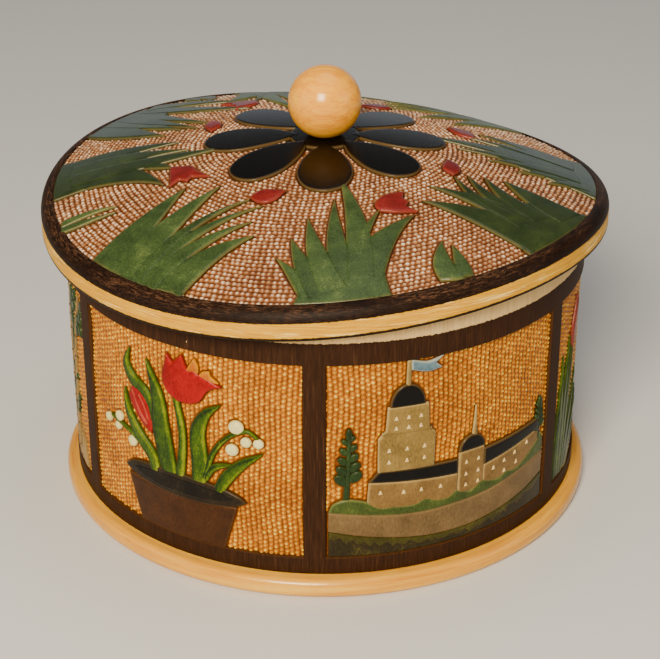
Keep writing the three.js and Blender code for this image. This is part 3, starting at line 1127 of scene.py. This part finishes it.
def pot_leaves(carve):
    leaves = [
        ([(-10, 60), (-14, 69.5), (-21, 74.5), (-24, 80), (-22, 86.5)], 5.6),
        ([(-2.5, 36), (-5.5, 48), (-7.5, 60), (-8.5, 72), (-13.2, 85)], 8.2),
        ([(-10.5, 36), (-12, 44.5), (-19, 52), (-24, 60), (-25.5, 69)], 5.4),
        ([(8.5, 36), (9.5, 49), (9, 61), (12.5, 69.5), (18.5, 74.5)], 7.0),
        ([(11.5, 42), (15, 48), (22.5, 51)], 2.8),
        ([(15.5, 36), (20, 44.5), (26, 51.5), (34, 57)], 4.8),
    ]
    carve("leaves", WALL_LEAF, layered([ribbon(*leaf) for leaf in leaves], 1.35, 0.08), seed=3)
    stems = [
        (ribbon([(0, 36), (1.8, 48), (2.4, 60), (0.2, 73)], 4.0, 2.6), 1.45),
        (ribbon([(11, 42), (15, 54), (21, 62), (28, 65.6), (32.5, 63)], 2.6, 1.2), 1.4),
        (ribbon([(-12, 44), (-20, 49.5), (-28, 52), (-35.5, 53.3)], 2.4, 1.0), 1.4),
    ]
    carve("stems", WALL_LEAF, stems, seed=9)


def pot_tulips(carve):
    """An open tulip with two yellow petals behind it, and a bud with pale streaks."""
    flower = outline(
        [(1, 72.4), (-3.4, 75.4), (-5.4, 80.5), (-4.2, 86), (-3, 90.5)], [(-0.6, 87.6)], [(3.5, 91.5)],
        [(6, 86.2), (8.5, 86.6), (10.4, 85.4)], [(14, 84.4), (19.2, 82)],
        [(14, 79.6), (10.5, 74.6), (6.5, 72.6)],
    )
    carve("tulip", TULIP, [(flower, 1.6)], crown=0.3)
    tall = outline([(5.4, 86), (6.8, 88.6), (8.6, 91.2)], [(10.2, 88.6), (10.2, 85.6)], [])
    short = outline([(10.4, 85), (12, 86.8), (14.6, 87.4)], [(15, 85.6)], [(18.2, 83.2)], [(14, 83.4)])
    carve("petals", PETAL_YELLOW, [(tall, 1.45), (short, 1.42)], seed=2)
    bud = outline(
        [(-11.8, 54.6), (-16, 57), (-20, 61.5), (-22.8, 66.5), (-21, 71.8)],
        [(-17, 71.2), (-12.6, 67), (-11, 60.5)],
    )
    carve("bud", TULIP, [(bud, 1.4)], crown=0.25)
    streaks = [
        (ribbon([(-13.4, 58), (-17, 62.5), (-20.6, 70.2)], 1.6, 0.7), 1.75),
        (ribbon([(-12.6, 60), (-14.4, 65), (-17.2, 69.4)], 1.2, 0.6), 1.75),
    ]
    carve("bud_streaks", BUD_PALE, streaks, bevel=0.3, drop=0.2, seed=5)


def potted_flowers(index, tag, mirror=False):
    """A flower pot with tulips and lily of the valley."""
    carve = carver(index, tag, mirror)
    flower_pot(carve)
    pot_leaves(carve)
    pot_tulips(carve)
    bells = [
        (24.4, 66.8, 2.9), (28, 61.2, 2.1), (32.6, 61.2, 2.0), (22.6, 57.2, 2.5),
        (-30, 54.8, 2.2), (-37.4, 51.3, 2.0), (-31, 50.3, 1.8), (-22.6, 47.2, 2.3),
    ]
    carve("lily_bells", LILY, [(oval(x, z, r, r * 0.95), 1.45) for x, z, r in bells], crown=0.5, seed=4)


def domed_roof(left, right, foot, rise):
    middle, half = (left + right) / 2, (right - left) / 2
    angles = np.linspace(0, math.pi, 9)[1:-1]
    arc = [(middle + half * math.cos(a), foot + rise * math.sin(a)) for a in angles]
    return outline([(left, foot), (right, foot)], arc)


def shore_and_water(carve):
    """The hall's foreground: a pale shore over dark water, a fringe of moss and low bushes."""
    edge = PANEL_HALF_WIDTH - 1.2
    shore_top = [(-edge, 34), (-20, 31), (0, 31), (20, 32.3), (edge - 1, 36.5)]
    shore_foot = [(edge - 1, 26.5), (30, 22.6), (10, 20), (-10, 20), (-30, 22.6), (-edge, 26)]
    shore = outline(shore_top, shore_foot[:1], shore_foot[1:], [])
    carve("shore", ROAD, [(shore, 1.3)])
    water = outline(
        [(-edge, 15), (edge, 15)], [(edge - 1, 26.2)],
        [(30, 22.3), (10, 19.7), (-10, 19.7), (-30, 22.3), (-edge, 25.6)], [],
    )
    carve("water", WATER, [(water, 1.1)])
    draw = np.random.default_rng(21)
    moss_top = [(edge - 1, 26.3), (30, 22.4), (10, 19.8), (-10, 19.8), (-30, 22.4), (-edge, 25.7)]
    moss_foot = []
    for x in np.arange(-edge, edge - 0.5, 1.3):
        line = 19.8 + 6.2 * (x / edge) ** 2
        moss_foot.append((x, line - 1.6 - draw.uniform(0, 2.2)))
    moss = outline(moss_top, moss_foot[:1], moss_foot[1:], [])
    carve("moss", REED, [(moss, 1.2)], seed=22, bevel=0.5, drop=0.3)
    bushes = [
        (edge - 1, 36.2), (45.5, 44), (41, 41.6), (34, 37.6), (29, 35.6), (24, 36.6), (20, 35),
        (14.5, 36.4), (11, 37.4), (7, 34.4), (3, 35.8), (0, 36.4), (-3, 34.6), (-8, 35), (-12, 36.4),
        (-17, 34.6), (-24, 35.2), (-29, 35.2), (-34, 38), (-41, 39.4), (-46, 37.6), (-edge, 34.2),
    ]
    ground_line = [(-20, 31.2), (0, 31.2), (20, 32.5)]
    carve("bushes", BUSH, [(outline(bushes, ground_line), 1.4)])


def hall_and_tower(carve):
    walls = [
        (straight((-34, 34.4), (1, 33.6), (1.2, 43.4), (-33.2, 45.8)), 1.2),
        (straight((12.6, 34.6), (30, 35), (45, 40), (43.4, 47.2), (12.8, 43.4)), 1.2),
        (straight((1.4, 34.4), (12.6, 34.8), (12.8, 52), (1.8, 52)), 1.34),
    ]
    carve("hall_walls", HALL, walls, seed=6)
    tower = [
        (straight((-30, 49.8), (-8.6, 49.6), (-8.4, 63.6), (-11, 66.4), (-27.6, 66.4), (-30, 63.6)),
         1.26),
        (straight((-27.4, 65), (-10.8, 65), (-11.4, 76.2), (-26.6, 76.2)), 1.34),
        # A raised ledge between the tiers, thin enough to be all pale cut edge; its pale line is also a
        # painted highlight along the ledge.
        (ribbon([(-28.6, 65.6), (-10, 65.6)], 0.9, 0.9), 1.62),
        (ribbon([(-19.2, 83), (-19, 94.2)], 1.7, 1.4), 1.3),
        (straight((7.2, 57), (9.4, 57), (8.5, 70)), 1.2),
    ]
    carve("tower", STONE, tower, seed=7)
    roofs = [
        (domed_roof(-25.8, -12.6, 76, 8.8), 1.45), (domed_roof(1.6, 13, 52, 6.2), 1.5),
        (straight((-33.4, 46), (1.2, 43.5), (1.2, 49.6), (-29.6, 50.4)), 1.35),
        (straight((12.9, 43.5), (43.6, 47.4), (42.2, 51.6), (12.9, 50.4)), 1.35),
    ]
    carve("roofs", BLACK, roofs, seed=8)


def hall_windows(carve):
    windows = [(x, z) for z in (71.6, 67.6) for x in (-23.6, -19, -14.4)]
    windows += [(x, z) for z in (58.8, 54) for x in (-26, -19.4, -12.8)]
    windows += [(x, z) for z in (47.4, 42.4, 37.8) for x in (4.6, 10)]
    windows += [(-29, 41.6), (-20.4, 40.8), (-13.6, 40.6), (-6, 40.2)]
    windows += [(17.4, 40.6), (22.8, 41.8), (28.4, 43), (35.4, 44.4), (23, 37.4), (29.4, 38.6)]
    half_width = 0.85
    panes = []
    for x, z in windows:
        sill = z - 0.7
        pane = outline([(x - half_width, sill), (x + half_width, sill)], [(x, z + 1.0)])
        panes.append((pane, 1.55))
    carve("windows", WINDOW, panes, seed=9, bevel=0.3, drop=0.2)


def towered_hall(index, tag):
    """A generic hall with a domed tower on a shore, between two trees."""
    carve = carver(index, tag)
    shore_and_water(carve)
    hall_and_tower(carve)
    hall_windows(carve)
    pennant = outline(
        [(-18.2, 94.2), (-12, 92.6), (-6, 94)], [(-9, 91.6)], [(-6.4, 89.4)],
        [(-12, 88.6), (-18.2, 90.2)], [],
    )
    carve("pennant", SKY_BLUE, [(pennant, 1.3)])
    carve("tree_left", TREE, lobed_tree(-40.6, 39.4, 68.5, 4.6), seed=10)
    carve("tree_right", TREE, lobed_tree(43.6, 42, 60, 3.2), seed=11)


def lobed_tree(x, foot, top, spread):
    """Shells of a small tree: a trunk and pairs of leafy lobes that get smaller upwards."""
    height = top - foot
    shells = [(ribbon([(x - 0.8, foot), (x, foot + height * 0.5), (x + 0.2, top - 2)], 2.2, 1.4), 1.3)]
    for level in range(5):
        share = level / 5
        up = foot + height * (0.28 + 0.68 * share)
        size = spread * (1 - 0.62 * share)
        shells.append((oval(x - size * 0.55, up, size * 0.62, size * 0.42, turn=-0.7), 1.35))
        shells.append((oval(x + size * 0.55, up + 1.4, size * 0.62, size * 0.42, turn=0.7), 1.42))
    shells.append((oval(x + 0.2, top - 2.4, 1.2, 2.6), 1.38))
    return shells


def tulip_head(x, z, size):
    """An open tulip head with two points and a notch between them."""
    left_point = (x - size * 0.55, z + size)
    notch = (x, z + size * 0.45)
    right_point = (x + size * 0.6, z + size)
    foot = (x, z - size)
    return outline(
        [foot, (x - size * 0.8, z - size * 0.3), left_point], [notch], [right_point],
        [(x + size * 0.8, z - size * 0.3)],
    )


def growing_tulips(index, tag, base_x, lean, seed):
    """Blades and tulips that grow up from the panel's foot."""
    carve = carver(index, tag)
    foot = PANEL_BOTTOM + 0.4
    tips = [(-19, 38), (-12, 56), (-5, 70), (3, 78), (11, 64), (18, 50), (24, 34)]
    leaves = []
    for reach, top in tips:
        start = (base_x + reach * 0.35, foot)
        tip = (base_x + reach + lean, top)
        leaves.append(blade(start, tip, 7.5, bend=-reach * 0.12))
    carve("leaves", WALL_LEAF, layered(leaves, 1.2), seed=seed)
    heads = []
    for reach, top, size in ((-15, 64, 5.4), (7, 86, 6.4), (22, 58, 4.8)):
        x = base_x + reach + lean
        heads.append((tulip_head(x, top, size), 1.45))
        low = (base_x + reach * 0.4, foot)
        middle = (base_x + reach * 0.8, (foot + top) / 2)
        stem = ribbon([low, middle, (x, top - size * 0.8)], 2.6, 1.8)
        carve_stem = carver(index, f"{tag}_{len(heads)}")
        carve_stem("stem", WALL_LEAF, [(stem, 1.15)], seed=seed + len(heads))
    carve("tulips", TULIP, heads, seed=seed, crown=0.25)


def side_tuft(index, tag):
    """Long leaves that grow up beside the left bar with a tulip, and a smaller tuft at the right."""
    carve = carver(index, tag)
    left = -PANEL_HALF_WIDTH + 1.5
    foot = PANEL_BOTTOM + 0.5
    blades = [
        ((left + 3, foot), (left + 3, 48), 5, 0.4), ((left + 5, foot), (left + 6, 68), 6, 0.8),
        ((left + 7, foot), (left + 13, 74), 5.5, 2.0), ((left + 9, foot), (left + 20, 64), 5.5, 2.6),
        ((left + 11, foot), (left + 28, 54), 5.5, 2.6), ((left + 13, foot), (left + 34, 42), 5.5, 2.4),
        ((left + 15, foot), (left + 36, 29), 5, 1.4), ((26, foot), (12, 52), 6, 1.6),
        ((30, foot), (23, 66), 6.5, 1.0), ((34, foot), (38, 60), 6.5, -1.0),
        ((37, foot), (44, 38), 6, -1.2),
    ]
    carve("leaves", WALL_LEAF, layered([blade(*leaf) for leaf in blades], 1.2), seed=12)
    stems = [
        (ribbon([(left + 8, foot), (left + 11, 46), (left + 16, 68)], 2.6, 1.8), 1.5),
        (ribbon([(32, foot), (31, 48), (31, 74)], 2.8, 2.0), 1.5),
    ]
    carve("stems", WALL_LEAF, stems, seed=19)
    slender = outline(
        [(left + 15.5, 67), (left + 14.6, 75), (left + 18, 82), (left + 22, 88)],
        [(left + 21.6, 80), (left + 19.5, 72)],
    )
    carve("tulip", LID_TULIP, [(slender, 1.55), (tulip_head(31, 79, 6.4), 1.55)], crown=0.25)


def birches(index, tag):
    """A grove of pale birch trunks with dark bark marks over grass."""
    carve = carver(index, tag)
    foot = PANEL_BOTTOM + 0.4
    lines = [
        ([(14, foot), (16, 40), (21, 68), (29, 91)], 4.8),
        ([(30, foot), (31, 40), (34, 66), (43, 91)], 2.6),
        ([(-20, foot), (-19, 44), (-15, 68), (-14, 91)], 5.2),
        ([(-38, foot), (-37, 40), (-35, 66), (-37, 88)], 3.6),
        ([(-4, foot), (-3, 40), (2, 66), (4, 89)], 3.2),
        ([(16.5, 44), (12, 58), (11, 72)], 1.8),
        ([(-17, 56), (-10, 68), (-7, 80)], 1.8),
        ([(-36.5, 52), (-30, 64), (-27, 77)], 1.6),
    ]
    trunks = [(ribbon(points, width, width * 0.45), 1.35) for points, width in lines]
    carve("birch_trunks", BARK, trunks, seed=14)
    marks = []
    for number, (points, width) in enumerate(lines[:4]):
        spine = curve_through(points, step=5.5)[1:-2]
        for k, (x, z) in enumerate(spine):
            side = 0.22 * width * (1 if (k + number) % 2 else -1)
            marks.append((oval(x + side, z, width * 0.2, 0.55, turn=0.3), 1.48))
    carve("bark_marks", BLACK, marks, seed=15, bevel=0.3, drop=0.2)
    draw = np.random.default_rng(16)
    leaves = []
    for points, _ in lines:
        for x, z in curve_through(points, step=4.0)[4:]:
            x = x + draw.uniform(-6, 6)
            z = min(z + draw.uniform(-2, 2), 90)
            leaves.append((oval(x, z, 1.5, 2.6, turn=draw.uniform(-1, 1)), 1.2))
    for _ in range(50):
        x, z = draw.uniform(-45, 45), draw.uniform(74, 91)
        leaves.append((oval(x, z, 1.4, 2.5, turn=draw.uniform(-1, 1)), 1.2))
    carve("birch_leaves", TREE, leaves, seed=17)
    grass = []
    for x in np.arange(-44, 46, 4.5):
        tip = (x + draw.uniform(-4, 4), foot + draw.uniform(9, 19))
        leaf = blade((x, foot), tip, 4.2, draw.uniform(-1, 1))
        grass.append((leaf, 1.12 + 0.07 * draw.random()))
    carve("grass", BARK, grass, seed=18)


# ---- Assembly --------------------------------------------------------------------------

base_plate()
wall_frame()
lid_body()
ball_knob()
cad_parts["knob_dowel"].material_slots[0].material = RAW
rosette()
lid_leaves()
lid_flowers()
towered_hall(0, "hall")
side_tuft(1, "side")
potted_flowers(2, "rear_pot", mirror=True)
growing_tulips(3, "rear", base_x=-2, lean=2, seed=20)
birches(4, "birch")
potted_flowers(5, "pot")
for panel in range(PANEL_COUNT):
    panel_ground(panel)
for sector in range(LID_SECTORS):
    lid_ground(sector)

# ---- Floor, light and camera -----------------------------------------------------------


def floor():
    shader = Shader("floor")
    shader.feed(shader.surface.inputs["Base Color"], (210, 208, 206))
    shader.surface.inputs["Roughness"].default_value = 0.6
    size = 3.0
    mesh = bpy.data.meshes.new("floor")
    corners = [(-size, -size, 0), (size, -size, 0), (size, size, 0), (-size, size, 0)]
    mesh.from_pydata(corners, [], [(0, 1, 2, 3)])
    mesh.materials.append(shader.material)
    piece = bpy.data.objects.new("floor", mesh)
    bpy.context.scene.collection.objects.link(piece)


def area_light(name, place, target, size, power, colour):
    lamp = bpy.data.lights.new(name, "AREA")
    lamp.shape = "RECTANGLE"
    lamp.size, lamp.size_y = size
    lamp.energy = power
    lamp.color = colour
    piece = bpy.data.objects.new(name, lamp)
    piece.location = place
    piece.rotation_euler = (Vector(target) - Vector(place)).to_track_quat("-Z", "Y").to_euler()
    bpy.context.scene.collection.objects.link(piece)


def light():
    """A warm key light at the front left and weak fills. Places and sizes are in metres."""
    middle = (0, 0, 0.07)
    area_light("key", (-0.25, -1.1, 0.85), middle, (0.45, 0.45), 34, (1.0, 0.9, 0.68))
    area_light("left_fill", (-1.2, -0.45, 0.55), middle, (0.8, 0.8), 2.6, (1.0, 0.97, 0.93))
    area_light("right_fill", (1.2, -0.45, 0.55), middle, (0.8, 0.8), 2.6, (1.0, 0.97, 0.93))
    area_light("overhead", (0.1, 0.1, 1.3), middle, (0.9, 0.9), 4, (1.0, 0.97, 0.93))
    area_light("window", (0.1, 1.4, 0.28), middle, (1.6, 0.4), 1.2, (0.8, 0.9, 1.0))
    world = bpy.data.worlds.new("studio")
    world.use_nodes = True
    world.node_tree.nodes["Background"].inputs["Color"].default_value = (1.0, 0.98, 0.95, 1)
    world.node_tree.nodes["Background"].inputs["Strength"].default_value = 0.16
    bpy.context.scene.world = world


def camera():
    """Looks down on the front of the box from about 0.73 m away. Places are in metres."""
    lens = bpy.data.cameras.new("camera")
    lens.sensor_fit = "HORIZONTAL"
    lens.sensor_width = 36.0
    lens.lens = 98.8
    piece = bpy.data.objects.new("camera", lens)
    piece.location = (0, -0.6557, 0.3888)
    aim = Vector((0.0027, 0.8924, -0.4512))
    piece.rotation_euler = aim.to_track_quat("-Z", "Y").to_euler()
    bpy.context.scene.collection.objects.link(piece)
    bpy.context.scene.camera = piece


floor()
light()
camera()
